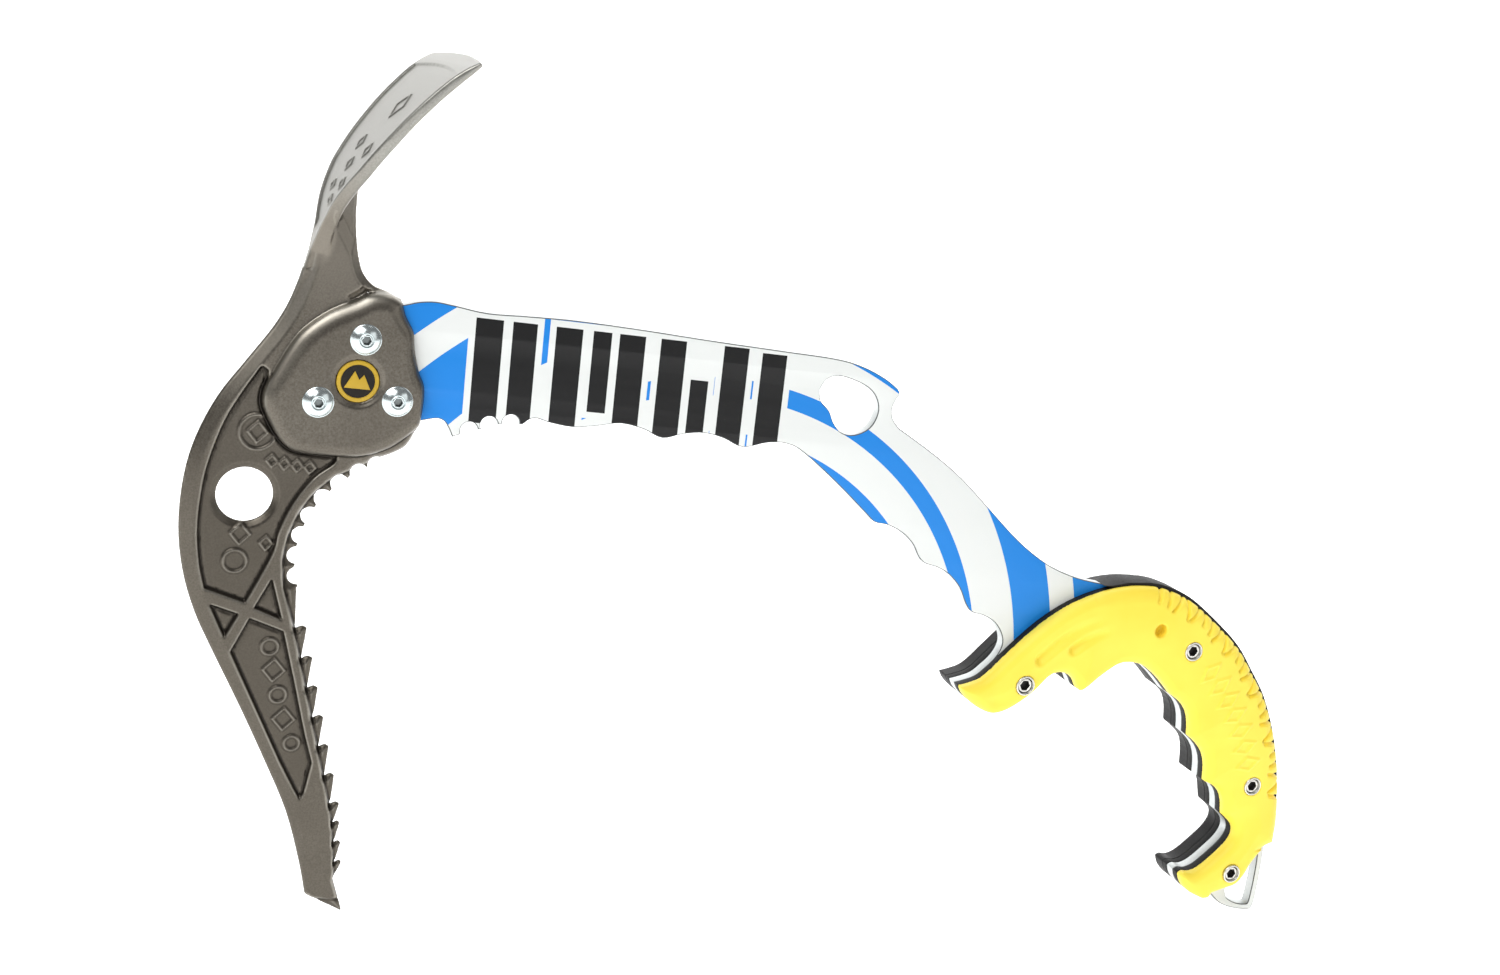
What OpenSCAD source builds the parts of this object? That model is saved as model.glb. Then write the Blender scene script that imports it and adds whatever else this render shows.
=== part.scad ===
// Technical ice axe: a forged head with pick and adze, a flat aluminium plate that
// runs from the head to the leash eye, and a two-shell handle bolted through it.
// X runs from the pick to the handle, Z is up, Y is the thickness, -Y is the left side.

/* [Shaft plate] */
// Thickness of the aluminium plate
plate_t = 5; // [4.6:0.1:5.6]
// Radius of the small tooth notches under the head end of the plate
notch_r = 3.2; // [2.6:0.1:3.4]

/* [Head] */
// Thickness across the boss that clamps the plate
boss_t = 14; // [13:0.5:15]
// Radius of the rounding around the face of the boss
boss_round = 2.4; // [1.5:0.1:3]
// Thickness across the raised rims of the pick
rim_t = 6.4; // [6:0.2:7]
// Thickness of the web at the bottom of the pockets
web_t = 3.6; // [3:0.2:4.4]
// Thickness of the pick at its point
tip_t = 3.6; // [3:0.2:4.4]
// Diameter of the round hole in the pick
pick_hole_d = 19.5; // [16:0.5:20]

/* [Adze] */
// Width of the cutting edge
adze_w = 62; // [54:1:68]
// Thickness of the blade
adze_t = 3.6; // [3:0.2:4.4]
// How far the blade is turned away from square, in degrees
adze_skew = 4.5; // [0:0.5:5]
// How far the middle of the cutting edge stands ahead of its corners
adze_crown = 3; // [0:0.5:5]

/* [Handle] */
// Thickness of the liner on each side of the plate
liner_t = 3.25; // [2:0.25:3.5]
// Thickness of the left grip shell
grip_t = 7; // [6.5:0.5:8]
// How much thicker the right grip shell is than the left one
far_extra = 2.5; // [0:0.5:3]
// Radius of the rounded outer edge of the grip shells
grip_round = 5; // [3:0.5:6]
// Depth of the finger grooves
groove_depth = 3.8; // [2.5:0.1:4.2]
// Diameter of the blind moulding hole in each shell
blind_d = 6.1; // [4:0.1:7]

/* [Fasteners] */
// Diameter of the domed heads in the boss
dome_d = 10.9; // [10:0.1:11.5]
// Height of the domed heads
dome_h = 2.9; // [2:0.1:3.2]
// Diameter of the head bolt shanks
shank_d = 5; // [4:0.5:5]
// Diameter of the sleeve nut barrels in the head
sleeve_d = 7; // [6.5:0.1:7.5]
// Diameter of the medallions between the head bolts
medallion_d = 14.8; // [13:0.1:15]
// Outer diameter of the cup washers in the grip
cup_d = 8.4; // [8:0.1:9]
// Diameter of the grip screw heads
screw_head_d = 6; // [5.6:0.1:6.2]
// Diameter of the grip screw shanks
screw_d = 4; // [3:0.5:4]

/* [Hidden] */
$fn = 48;

// Working clearance between a fastener and its bore, on the diameter
clear = 0.2;
// Clearance on each face of the plate in the slot of the head
slot_clear = 0.05;
// Reach of a cutting tool past the faces that it cuts
over = 20;
// Length that reaches past the whole axe
huge = 800;

plate_y = plate_t / 2;
liner_y = plate_y + liner_t;
grip_y = liner_y + grip_t;
far_grip_y = grip_y + far_extra;
boss_y = boss_t / 2;
rim_y = rim_t / 2;
web_y = web_t / 2;
// Height at which the pick starts to thin towards its point
taper_top = 62;
// Half the thickness of the thin edge of the web under the adze
neck_edge_y = 1.4;
// How far the flange of the head stands out from the rims of the pick
flange_step = 0.6;
// Depth of the seat of a medallion, and of the step to its sunk field
seat_depth = 1.6;
field_depth = 0.4;
// Width of the rim of a medallion, and the gap between its face and the boss face
medal_rim = 1.5;
medal_gap = 0.1;
// Hex sockets, across corners, of the head fasteners and of the grip fasteners
head_socket_d = 2.9;
grip_socket_d = 4.6;
// Diameter and depth of the ring step in the domed heads
dome_step_d = 4.4;
dome_step = 0.6;
// Seat depth of the cup washers in the grip shells, and how far they stand out of the face
cup_depth = 2.4;
cup_stand = 0.2;
// How far two shapes of one solid run into each other
over_lap = 0.4;
// The mountain on the medallions
mountain = [[-5, -2.6], [-1.6, 3.4], [0.2, 0.4], [1.8, 2.4], [5, -2.6]];
// Thickness of the heads of the grip screws, and how far they sit under the grip face
screw_head_t = 3.5;
screw_sink = 0.5;
socket_depth = 2.4;
// Diameter of the small notches along the back of the grip shells
rib_notch_d = 1.6;
blind_depth = 5;

// Fastener places, each [x, z]
head_names = ["top", "front", "rear"];
head_places = [[-188.3, 218.5], [-202, 195], [-174.8, 197.9]];
medallion_place = [-189.2, 203.5];
grip_names = ["rest", "upper", "lower", "pommel"];
grip_places = [[95.6, 105.6], [173.4, 124.3], [219.7, 63.9], [219.5, 22.1]];
blind_place = [154.5, 133];
pick_hole_place = [-222.4, 158.6];

// ---- Curves ----

// A point on the smooth curve from b to c, with neighbours a and d
function spline_at(a, b, c, d, t) =
    0.5 * (2 * b + (c - a) * t + (2 * a - 5 * b + 4 * c - d) * t * t
           + (3 * b - a - 3 * c + d) * t * t * t);

// A smooth open curve through the points p, with n steps between neighbours
function smooth(p, n = 4) = concat(
    [for (i = [0 : len(p) - 2], k = [0 : n - 1])
        spline_at(p[max(i - 1, 0)], p[i], p[i + 1], p[min(i + 2, len(p) - 1)], k / n)],
    [p[len(p) - 1]]);

// The list without its last point, so that curves can be joined end to end
function open(p) = [for (i = [0 : len(p) - 2]) p[i]];

// A groove between the ridges a and b, which bulges to the right of the way from a to b
function groove(a, b, depth, n = 8) =
    let (side = [b.y - a.y, a.x - b.x] / norm(b - a))
    [for (k = [0 : n - 1]) a + (b - a) * k / n + side * depth * sin(180 * k / n)];

// Value of the table of [key, value] rows at key k, by straight lines between the rows
function ramp(rows, k) = lookup(k, rows);

// ---- Outline of the handle, shared by the plate, the liners and the grip shells ----

rest_tip = [68, 102.4];
heel = [241, 35.5];
hook_tip = [195.4, 19.6];
ridges = [[210.5, 48.7], [197, 64.2], [183.5, 84.8], [169.5, 103.4]];

rest_edge = [rest_tip, [72, 103.6], [77, 105.7], [81, 109.4], [85, 114.2]];
handle_top = smooth(concat(rest_edge, [[92, 122.2], [100, 130.4], [109, 137.6], [118, 142.8],
    [129, 147.2], [140, 149.6], [150, 150.1]]));
handle_back = smooth([[150, 150.1], [158, 149], [170, 145], [184, 136.5], [199, 125.5],
    [210, 113.5], [219, 102.5], [227.5, 87.5], [233.5, 73], [237.5, 59], [240, 47], heel]);
handle_heel = concat(
    open(smooth([heel, [235.6, 32.8], [231, 26.4], [228.6, 20.4], [225, 15.6], [219, 13.4],
        [213.4, 11.4]])),
    open(smooth([[213.4, 11.4], [212.2, 9.2], [209.5, 8.6]])));
hook_nose = [[203, 11.2], [199.3, 13.6], [196.8, 16.4], hook_tip];
hook_front = smooth(concat([[209.5, 8.6]], hook_nose));
hook_inside = smooth([hook_tip, [197.2, 20.8], [201, 20.7], [205.7, 23], [212.9, 30],
    [217, 35], [218.6, 39.5], [217.4, 43.3], [214, 46.3], ridges[0]]);
finger_grooves = [for (i = [0 : 2]) each groove(ridges[i], ridges[i + 1], groove_depth)];
handle_belly = smooth([ridges[3], [161, 110.8], [152.5, 115.8], [146, 117], [139.5, 115.8],
    [132, 110], [127.8, 105.8], [124.6, 103.5], [122.6, 104.6], [120.4, 107.8], [116.5, 110.4],
    [111.5, 111], [107.2, 108.6], [102.1, 102.4], [96.5, 97.4], [90, 93.2], [84, 91.9],
    [77, 94.4], [72.5, 97.2], [69.5, 99.9], rest_tip]);

handle_outline = concat(open(handle_top), open(handle_back), handle_heel, open(hook_front),
    open(hook_inside), finger_grooves, open(handle_belly));

// ---- Outline of the shaft plate ----

tang = [[-165, 190.8], [-176, 185], [-190, 182.5], [-203, 185], [-210.5, 193], [-211, 204],
    [-205, 215.5], [-197, 224], [-187, 230]];
shaft_top = smooth([[-187, 230], [-177, 231.2], [-171, 233], [-165, 233.8], [-158, 233.2],
    [-146, 231.9], [-130, 232.5], [-112, 232.9], [-86, 232.3], [-60, 231.3], [-30, 230.5],
    [-10, 229.9], [2, 228.1], [12, 224.6], [18.4, 221]]);
shaft_hook = smooth([[18.4, 221], [19.6, 219], [18.4, 216.6], [17.5, 213], [18.6, 209],
    [22, 205.6]]);
shaft_back = smooth([[22, 205.6], [40, 196.2], [54, 187.6], [67, 177.7], [85, 164],
    [100, 155.4], [112, 151.2], [122, 149.3], [131, 148.6], [140, 149.6], [150, 150.1]]);
eye_edge = smooth([heel, [242, 28], [243, 16], [243.4, 4]]);
eye_foot = smooth([[243.4, 4], [242.6, 0.6], [240, 0], [234, 0.4], [228.5, 1.6], [223.5, 3.8],
    [218, 8], [212, 9.6], [203, 11.2]]);
shaft_belly = smooth(concat(rest_edge, [[86.8, 119.3], [85.6, 124], [81.5, 128.8],
    [75.5, 131.6], [70, 132.7], [66.4, 135.9], [62, 142.8], [56, 148], [50, 150.6],
    [44.5, 151.8], [41, 154.4], [37.4, 159.4], [32, 163.6], [25, 166.4], [19, 167.2],
    [14, 170.8], [0, 181.4], [-16, 192.2], [-24, 195.2], [-32, 194.8], [-41.5, 192.2],
    [-50, 195], [-58, 196.2], [-66, 195.1], [-74, 192.8], [-82, 195.5], [-91, 196.8],
    [-100, 195], [-109, 193.7], [-118, 194.6], [-124, 195.7], [-127.8, 193]]));
// Tips of the small teeth under the head end, and the centres of the notches between them
tooth_tips = [[-136.2, 192.2], [-143.4, 189.6], [-150, 187.2], [-152.8, 186]];
notches = [[-132.2, 193], [-140, 191.6], [-147, 188.9]];
shaft_tooth = smooth([[-152.8, 186], [-154.3, 188.8], [-156.4, 191.4], [-159.4, 192.2],
    [-165, 190.8]]);

plate_outline = concat(open(tang), open(shaft_top), open(shaft_hook), open(shaft_back),
    open(handle_back), open(eye_edge), open(eye_foot),
    open(smooth(hook_nose)), open(hook_inside), finger_grooves, open(handle_belly), shaft_belly,
    open(tooth_tips), open(shaft_tooth));
kidney_window = open(smooth([[-14.2, 217.5], [-12, 221.6], [-7.5, 223.5], [0, 222.3],
    [6.5, 219.8], [10.4, 215.8], [11.7, 210.5], [9.4, 204.6], [3.5, 201.2], [-2, 201.6],
    [-6, 205], [-8.8, 209.6], [-13, 213.2], [-14.2, 217.5]]));
leash_eye = concat(
    open(smooth([[226, 9.5], [227.8, 5.8], [232, 3.6], [236, 2.6], [239.4, 2.6]], 3)),
    open(smooth([[239.4, 2.6], [240.4, 4], [240.3, 14], [239.6, 24], [238.6, 30]], 3)),
    open(smooth([[238.6, 30], [235, 26.6], [231, 21], [228, 15], [226, 9.5]], 3)));

// ---- Outline of the head ----

// The toothed edge of the pick: straight teeth below, hooked teeth above
saw_tips = concat(
    [for (i = [0 : 6]) [-195.4 + 3.27 * i, 110.9 - 11.27 * i]],
    [for (i = [0 : 2]) [-174.8 + 1.25 * i, 35.7 - 7.9 * i]]);
saw_depths = concat([for (i = [0 : 6]) 4.1 - 0.1 * i], [for (i = [0 : 2]) 2.6]);
saw_edge = [for (i = [0 : len(saw_tips) - 1]) each [
    saw_tips[i] + [-saw_depths[i], -0.3],
    saw_tips[i] + [-saw_depths[i] * 0.4, 0.7],
    saw_tips[i]]];
hooked_tips = [[-180.7, 171.3], [-187.7, 167.5], [-193.3, 162.2], [-198, 156], [-201.1, 148.7],
    [-202.7, 141.3], [-202.7, 133.7], [-200.9, 126.2]];
scallop_r = 3.2;
heel_scallop = [-178, 172.8];
saw_root = [for (i = [0 : len(saw_tips) - 1]) saw_tips[i] - [saw_depths[i] + 0.8, 0]];
hooked_root = smooth([[-184, 172], [-191.4, 168.4], [-198, 162.4], [-203, 154.4], [-206, 145.4],
    [-207, 136], [-205.6, 126.2]], 2);
spine = smooth([[-210, 246], [-211.6, 238], [-213.9, 230], [-218.8, 219], [-226.8, 206],
    [-235, 192.5], [-240.8, 177.5], [-243.4, 163], [-243.4, 146], [-240.5, 130], [-235, 115],
    [-227.3, 100.5], [-216, 80.5], [-205, 60], [-195, 40], [-188, 20], [-184.5, 7.2]]);
pick_point = [[-183.4, 6.4], [-170, 0], [-171, 3], [-174.8, 13.2]];
boss_foot = smooth([[-165.6, 187.8], [-168.5, 181], [-174.6, 177], [-181.2, 174.6]]);
boss_right = smooth([[-177.2, 233.4], [-175.2, 228], [-171.8, 222.6], [-170.6, 216.4],
    [-168, 208.4], [-165.6, 203.6], [-165, 196], [-165.6, 187.8]]);
// The web under the adze: its thick part, and its thin rear edge
neck_core = [[-213.6, 226], [-210.6, 240], [-208.6, 250], [-204, 262], [-200.4, 258],
    [-198.6, 251], [-190.6, 237], [-189, 234], [-200, 226]];
neck_edge = concat(open(smooth([[-196.2, 270], [-196, 262], [-195.3, 253], [-193.8, 246],
    [-191.2, 240.4], [-187.2, 236.7], [-182.4, 235.2], [-177.6, 233.2]])),
    [[-181, 232], [-200, 238], [-202, 266]]);
// Both outlines run over the boss end of the pick
pick_heel = [[-178.6, 176.2], [-181, 186], [-196, 214], [-200, 226]];
pick_outline = concat(spine, pick_point,
    [for (i = [len(saw_edge) - 1 : -1 : 0]) saw_edge[i]],
    [for (i = [len(hooked_tips) - 1 : -1 : 0]) each [
        hooked_tips[i] + [0.1, -0.5], hooked_tips[i] + [0.5, 0.4]]],
    pick_heel);
rim_outline = concat(spine, pick_point,
    [for (i = [len(saw_root) - 1 : -1 : 0]) saw_root[i]],
    [for (i = [len(hooked_root) - 1 : -1 : 0]) hooked_root[i]],
    pick_heel);
boss_outline = concat(
    open(smooth([[-177.6, 232.8], [-182, 234.6], [-188, 234], [-193, 231], [-201.5, 226.3],
        [-209.3, 219.3], [-213.5, 212.5], [-217.3, 204], [-219.9, 197.5], [-220.2, 192.6],
        [-218.4, 188], [-214, 181.2], [-209.6, 177.2], [-204.5, 175.9], [-194, 175.8],
        [-184, 176.6], [-175, 180.4], [-169, 185.4], [-165.6, 189]])),
    [for (i = [len(boss_right) - 2 : -1 : 1]) boss_right[i]]);
head_flange = concat(open(boss_right), open(boss_foot),
    [[-190, 178], [-205, 190], [-205, 222], [-190, 233]]);

// ---- Pockets in the sides of the pick ----

upper_pocket = concat(
    open(smooth([[-219.4, 203.5], [-219.4, 199], [-220.4, 193], [-218.8, 188.4], [-214, 181],
        [-209.6, 177], [-204.5, 175.8], [-192.9, 175.4]])),
    smooth([[-192.9, 175.4], [-193.5, 172.8], [-200, 166.8], [-206, 157], [-209.6, 147],
        [-210.6, 140], [-213.3, 132.3], [-218.4, 120]]),
    open(smooth([[-232.5, 124.4], [-235, 133], [-236.9, 145], [-237, 158], [-235.7, 169.7],
        [-231.8, 184.5], [-227, 195], [-223.4, 201.6], [-221.6, 204.6], [-219.4, 203.5]])));
front_triangle = [[-230, 118.2], [-220.3, 115.3], [-224.1, 106.9]];
rear_triangle = [[-210, 128.7], [-214.7, 118.1], [-205.2, 114.5]];
lower_pocket = [[-216, 113.9], [-204, 109.7], [-198, 90.3], [-192.3, 71.3], [-188.4, 60],
    [-189.8, 48], [-191, 45.7], [-199.7, 60.7], [-210.3, 80.7], [-221.2, 101.3]];
pockets = [upper_pocket, front_triangle, rear_triangle, lower_pocket];

// ---- Adze blade: middle line [x, z], width and thickness at stations from neck to edge ----

blade_line = smooth([[-212.4, 226], [-209.6, 236], [-207.6, 246], [-205.9, 255], [-203.9, 265],
    [-199.6, 275.5], [-193.2, 287], [-184.7, 299.6], [-175.5, 310.6], [-166.6, 318.8]], 2);
blade_widths = [[0, 6.4], [4, 8], [6, 14], [8, 29], [10, 44], [12, 52], [14, 57], [16, 60],
    [18, 62]];
blade_thick = [[0, 5.2], [6, 5], [12, 4.2], [16, 3.6], [17, 3], [18, 1]];
// The widest value and the value at the edge station of these tables, which the sliders scale
table_w = 62;
table_t = 3.6;
// The blade turns away from square over this many stations
skew_stations = 10;
// One face of a section and then the other, as fractions of half the width and thickness
section_shape = [[-1, -0.2], [-0.9, -1], [-0.45, -1], [0, -1], [0.45, -1], [0.9, -1], [1, -0.2],
    [1, 0.5], [0.86, 1], [0.45, 1], [0, 1], [-0.45, 1], [-0.86, 1], [-1, 0.5]];

// ---- Shapes ----

// A solid from y = low to y = high with the outline p in X and Z
module slab(p, low, high)
    translate([0, high, 0])
        rotate([90, 0, 0])
            linear_extrude(high - low)
                polygon(p);

// The same with its outline moved inwards by a distance
module inset_slab(p, low, high, inset)
    translate([0, high, 0])
        rotate([90, 0, 0])
            linear_extrude(high - low)
                offset(r = -inset)
                    polygon(p);

// A round rod along Y at the place [x, z]
module rod(place, d, low, high, sides = $fn)
    translate([place.x, high, place.y])
        rotate([90, 0, 0])
            cylinder(d = d, h = high - low, $fn = sides);

// Ring of the adze blade at station i, as points in space
function blade_ring(i) =
    let (last = len(blade_line) - 1,
         a = blade_line[max(i - 1, 0)], c = blade_line[min(i + 1, last)],
         along = (c - a) / norm(c - a),
         half_w = ramp(blade_widths, i) / table_w * adze_w / 2,
         half_t = ramp(blade_thick, i) / table_t * adze_t / 2,
         skew = sin(adze_skew) * min(1, i / skew_stations),
         crown = adze_crown * max(0, i - last + 2) / 2)
    [for (s = section_shape)
        let (back = crown * s.x * s.x, w = s.x * half_w, t = s.y * half_t)
        [blade_line[i].x - along.x * back + along.y * t - w * skew,
         w * cos(adze_skew),
         blade_line[i].y - along.y * back - along.x * t]];

// Two triangles on the corners a, b, c and d
function quad(a, b, c, d) = [[a, b, c], [a, c, d]];

module adze_blade() {
    count = len(blade_line);
    sides = len(section_shape);
    points = [for (i = [0 : count - 1]) each blade_ring(i)];
    walls = [for (i = [0 : count - 2], k = [0 : sides - 1])
        let (a = i * sides + k, b = i * sides + (k + 1) % sides)
        each quad(a, b, b + sides, a + sides)];
    strips = [for (k = [0 : sides / 2 - 2]) [k, k + 1, sides - 2 - k, sides - 1 - k]];
    start = [for (q = strips) each quad(q[3], q[2], q[1], q[0])];
    edge = (count - 1) * sides;
    end = [for (q = strips) each quad(edge + q[0], edge + q[1], edge + q[2], edge + q[3])];
    polyhedron(points, concat(walls, start, end));
}

// The web under the blade, with a thin edge to the rear
module neck_web() {
    slab(neck_core, -rim_y, rim_y);
    slab(neck_edge, -neck_edge_y, neck_edge_y);
}

// Cuts both sides of the pick down to the thickness of its point, from taper_top downwards
module point_taper() {
    for (side = [-1, 1])
        rotate([90, 0, 90])
            linear_extrude(huge, center = true)
                polygon([[side * tip_t / 2, -1], [side * rim_y, taper_top],
                    [side * over, taper_top], [side * over, -1]]);
}

// ---- Nodes ----

module head_forging() color([0.42, 0.40, 0.37]) difference() {
    union() {
        difference() {
            union() {
                slab(pick_outline, -web_y, web_y);
                difference() {
                    slab(rim_outline, -rim_y, rim_y);
                    for (side = [-1, 1])
                        for (p = pockets)
                            slab(p, side > 0 ? web_y : -over, side > 0 ? over : -web_y);
                }
            }
            point_taper();
        }
        slab(head_flange, -rim_y - flange_step, rim_y + flange_step);
        slab(boss_outline, -boss_y + boss_round, boss_y - boss_round);
        for (angle = [30, 60, 90])
            let (top = boss_y - boss_round * (1 - sin(angle)))
            inset_slab(boss_outline, -top, top, boss_round * (1 - cos(angle)));
        neck_web();
        adze_blade();
    }
    // Slot for the tang of the plate, open to the rear and to the top
    slab(concat(tang, [[-177, 231.6], [-168, 236], [-160, 236], [-160, 190.8]]),
        -plate_y - slot_clear, plate_y + slot_clear);
    for (i = [0 : len(hooked_tips) - 2])
        rod((hooked_tips[i] + hooked_tips[i + 1]) / 2 + [0.4, 0.2], 2 * scallop_r, -over, over);
    rod(heel_scallop, 2 * scallop_r, -over, over);
    rod(pick_hole_place, pick_hole_d, -over, over);
    for (place = head_places) {
        rod(place, shank_d + clear, -over, 0);
        rod(place, sleeve_d + clear, 0, over);
    }
    for (side = [-1, 1])
        rod(medallion_place, medallion_d + clear, side > 0 ? boss_y - seat_depth : -over,
            side > 0 ? over : seat_depth - boss_y);
}

module shaft_plate() color([0.93, 0.94, 0.93]) difference() {
    slab(plate_outline, -plate_y, plate_y);
    slab(kidney_window, -over, over);
    slab(leash_eye, -over, over);
    for (place = notches)
        rod(place, 2 * notch_r, -over, over);
    for (place = head_places)
        rod(place, sleeve_d + clear, -over, over);
    for (place = grip_places)
        rod(place, screw_d + clear, -over, over);
}

// One liner; the left side is -1 and the right side is 1
module liner(side) color([0.16, 0.16, 0.16]) difference() {
    slab(handle_outline, side > 0 ? plate_y : -liner_y, side > 0 ? liner_y : -plate_y);
    for (place = grip_places)
        rod(place, (side > 0 ? screw_head_d : screw_d) + clear, -over, over);
}

// One grip shell with a rounded outer edge, a notched back and stepped screw bores
module grip(side, paint) color(paint) difference() {
    face = side > 0 ? far_grip_y : grip_y;
    union() {
        wall = face - grip_round;
        slab(handle_outline, side > 0 ? liner_y : -wall, side > 0 ? wall : -liner_y);
        for (angle = [30, 60, 90])
            let (top = wall + grip_round * sin(angle), inset = grip_round * (1 - cos(angle)))
            inset_slab(handle_outline, side > 0 ? liner_y : -top, side > 0 ? top : -liner_y, inset);
    }
    for (i = [2 : 2 : len(handle_back) - 4])
        rod(handle_back[i], rib_notch_d, side > 0 ? liner_y : -over, side > 0 ? over : -liner_y);
    for (place = grip_places) {
        rod(place, screw_head_d + clear, -over, over);
        rod(place, cup_d + clear, side > 0 ? face - cup_depth : -over,
            side > 0 ? over : cup_depth - face);
    }
    rod(blind_place, blind_d, side > 0 ? face - blind_depth : -over,
        side > 0 ? over : blind_depth - face);
}

// A gold disc with a raised rim and a raised mountain on a sunk field
module medallion(side) color([0.78, 0.66, 0.2]) {
    face = boss_y - medal_gap;
    field = face - field_depth;
    back = boss_y - seat_depth;
    difference() {
        rod(medallion_place, medallion_d, side > 0 ? back : -face, side > 0 ? face : -back);
        rod(medallion_place, medallion_d - 2 * medal_rim, side > 0 ? field : -over,
            side > 0 ? over : -field);
    }
    translate([medallion_place.x, 0, medallion_place.y])
        slab(mountain, side > 0 ? field - over_lap : -face, side > 0 ? face : over_lap - field);
}

// A shallow domed head that stands on the boss face at the place
module dome(place, side) {
    ball = (dome_d * dome_d / 4 + dome_h * dome_h) / (2 * dome_h);
    intersection() {
        translate([place.x, side * (boss_y + dome_h - ball), place.y])
            sphere(r = ball, $fn = 64);
        rod(place, dome_d, side > 0 ? boss_y : -over, side > 0 ? over : -boss_y);
    }
}

module head_bolt(i) color([0.78, 0.82, 0.82]) difference() {
    union() {
        dome(head_places[i], -1);
        rod(head_places[i], shank_d, -boss_y - over_lap, boss_y - 2);
    }
    rod(head_places[i], dome_step_d, -over, -boss_y - dome_h + dome_step);
    rod(head_places[i], head_socket_d, -over, -boss_y - over_lap, 6);
}

module head_nut(i) color([0.78, 0.82, 0.82]) difference() {
    union() {
        dome(head_places[i], 1);
        rod(head_places[i], sleeve_d, slot_clear - plate_y, boss_y + over_lap);
    }
    rod(head_places[i], shank_d + clear / 2, -over, boss_y - 1);
    rod(head_places[i], dome_step_d, boss_y + dome_h - dome_step, over);
    rod(head_places[i], head_socket_d, boss_y + over_lap, over, 6);
}

module grip_screw(i) color([0.8, 0.8, 0.8]) difference() {
    face = grip_y - screw_sink;
    union() {
        rod(grip_places[i], screw_head_d, -face, screw_head_t - face);
        rod(grip_places[i], screw_d, screw_head_t - over_lap - face, face - screw_head_t);
    }
    rod(grip_places[i], grip_socket_d, -over, socket_depth - face, 6);
}

module grip_nut(i) color([0.8, 0.8, 0.8]) difference() {
    face = far_grip_y - screw_sink;
    rod(grip_places[i], screw_head_d, plate_y + slot_clear, face);
    rod(grip_places[i], screw_d + clear / 2, -over, face - socket_depth - 1);
    rod(grip_places[i], grip_socket_d, face - socket_depth, over, 6);
}

// A cup washer set into the outer face of a grip shell
module cup(i, side) color([0.85, 0.85, 0.83]) {
    face = side > 0 ? far_grip_y : grip_y;
    low = face - cup_depth;
    high = face + cup_stand;
    difference() {
        rod(grip_places[i], cup_d, side > 0 ? low : -high, side > 0 ? high : -low);
        rod(grip_places[i], screw_head_d + clear, -over, over);
    }
}

head_forging();
shaft_plate();
liner(-1);  // liner_left
liner(1);  // liner_right
grip(-1, [0.98, 0.88, 0.3]);  // grip_left
grip(1, [0.2, 0.2, 0.2]);  // grip_right
medallion(-1);  // medallion_left
medallion(1);  // medallion_right
for (i = [0 : len(head_names) - 1]) {
    head_bolt(i);
    head_nut(i);
}
for (i = [0 : len(grip_names) - 1]) {
    grip_screw(i);
    grip_nut(i);
    cup(i, -1);
    cup(i, 1);
}
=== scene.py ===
"""Looks of the ice axe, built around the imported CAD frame.

The shape code works in millimetres over X (pick to handle) and Z (up); Y is the thickness, with
the photographed left side at negative Y. Places inside a shader are in metres.
"""
import math

import bmesh
import bpy
import numpy as np
from mathutils import Matrix, Vector


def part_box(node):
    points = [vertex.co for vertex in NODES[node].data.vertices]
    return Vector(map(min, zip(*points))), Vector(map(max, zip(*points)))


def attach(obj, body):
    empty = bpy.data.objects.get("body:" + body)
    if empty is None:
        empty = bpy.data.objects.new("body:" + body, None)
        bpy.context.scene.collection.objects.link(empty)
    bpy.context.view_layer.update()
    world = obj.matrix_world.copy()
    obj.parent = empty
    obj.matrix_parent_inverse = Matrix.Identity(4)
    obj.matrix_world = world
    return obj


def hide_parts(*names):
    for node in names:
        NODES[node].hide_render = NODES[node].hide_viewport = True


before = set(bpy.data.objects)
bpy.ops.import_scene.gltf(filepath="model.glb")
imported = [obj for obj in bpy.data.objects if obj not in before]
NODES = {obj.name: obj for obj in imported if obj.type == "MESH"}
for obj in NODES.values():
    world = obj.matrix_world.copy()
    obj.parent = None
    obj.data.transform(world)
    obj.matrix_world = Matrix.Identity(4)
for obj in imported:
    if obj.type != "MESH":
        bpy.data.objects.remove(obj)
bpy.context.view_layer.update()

MM = 0.001


# ---- Reading shapes from the frame ----

def section(node, y):
    """Closed outlines of a CAD node cut at the height y, as arrays of [x, z] in millimetres."""
    bm = bmesh.new()
    bm.from_mesh(NODES[node].data)
    bmesh.ops.remove_doubles(bm, verts=bm.verts, dist=1e-7)
    everything = bm.verts[:] + bm.edges[:] + bm.faces[:]
    cut = bmesh.ops.bisect_plane(
        bm, geom=everything, dist=1e-9, plane_co=(0, y * MM, 0), plane_no=(0, 1, 0))
    edges = [e for e in cut["geom_cut"] if isinstance(e, bmesh.types.BMEdge)]
    near = {}
    for e in edges:
        a, b = e.verts
        near.setdefault(a, []).append(b)
        near.setdefault(b, []).append(a)
    loops, seen = [], set()
    for first in near:
        if first in seen:
            continue
        loop, point = [], first
        while point is not None:
            seen.add(point)
            loop.append([point.co.x / MM, point.co.z / MM])
            point = next((q for q in near[point] if q not in seen), None)
        loops.append(np.array(loop))
    bm.free()
    return sorted(loops, key=lambda p: -np.ptp(p, axis=0).max())


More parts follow.
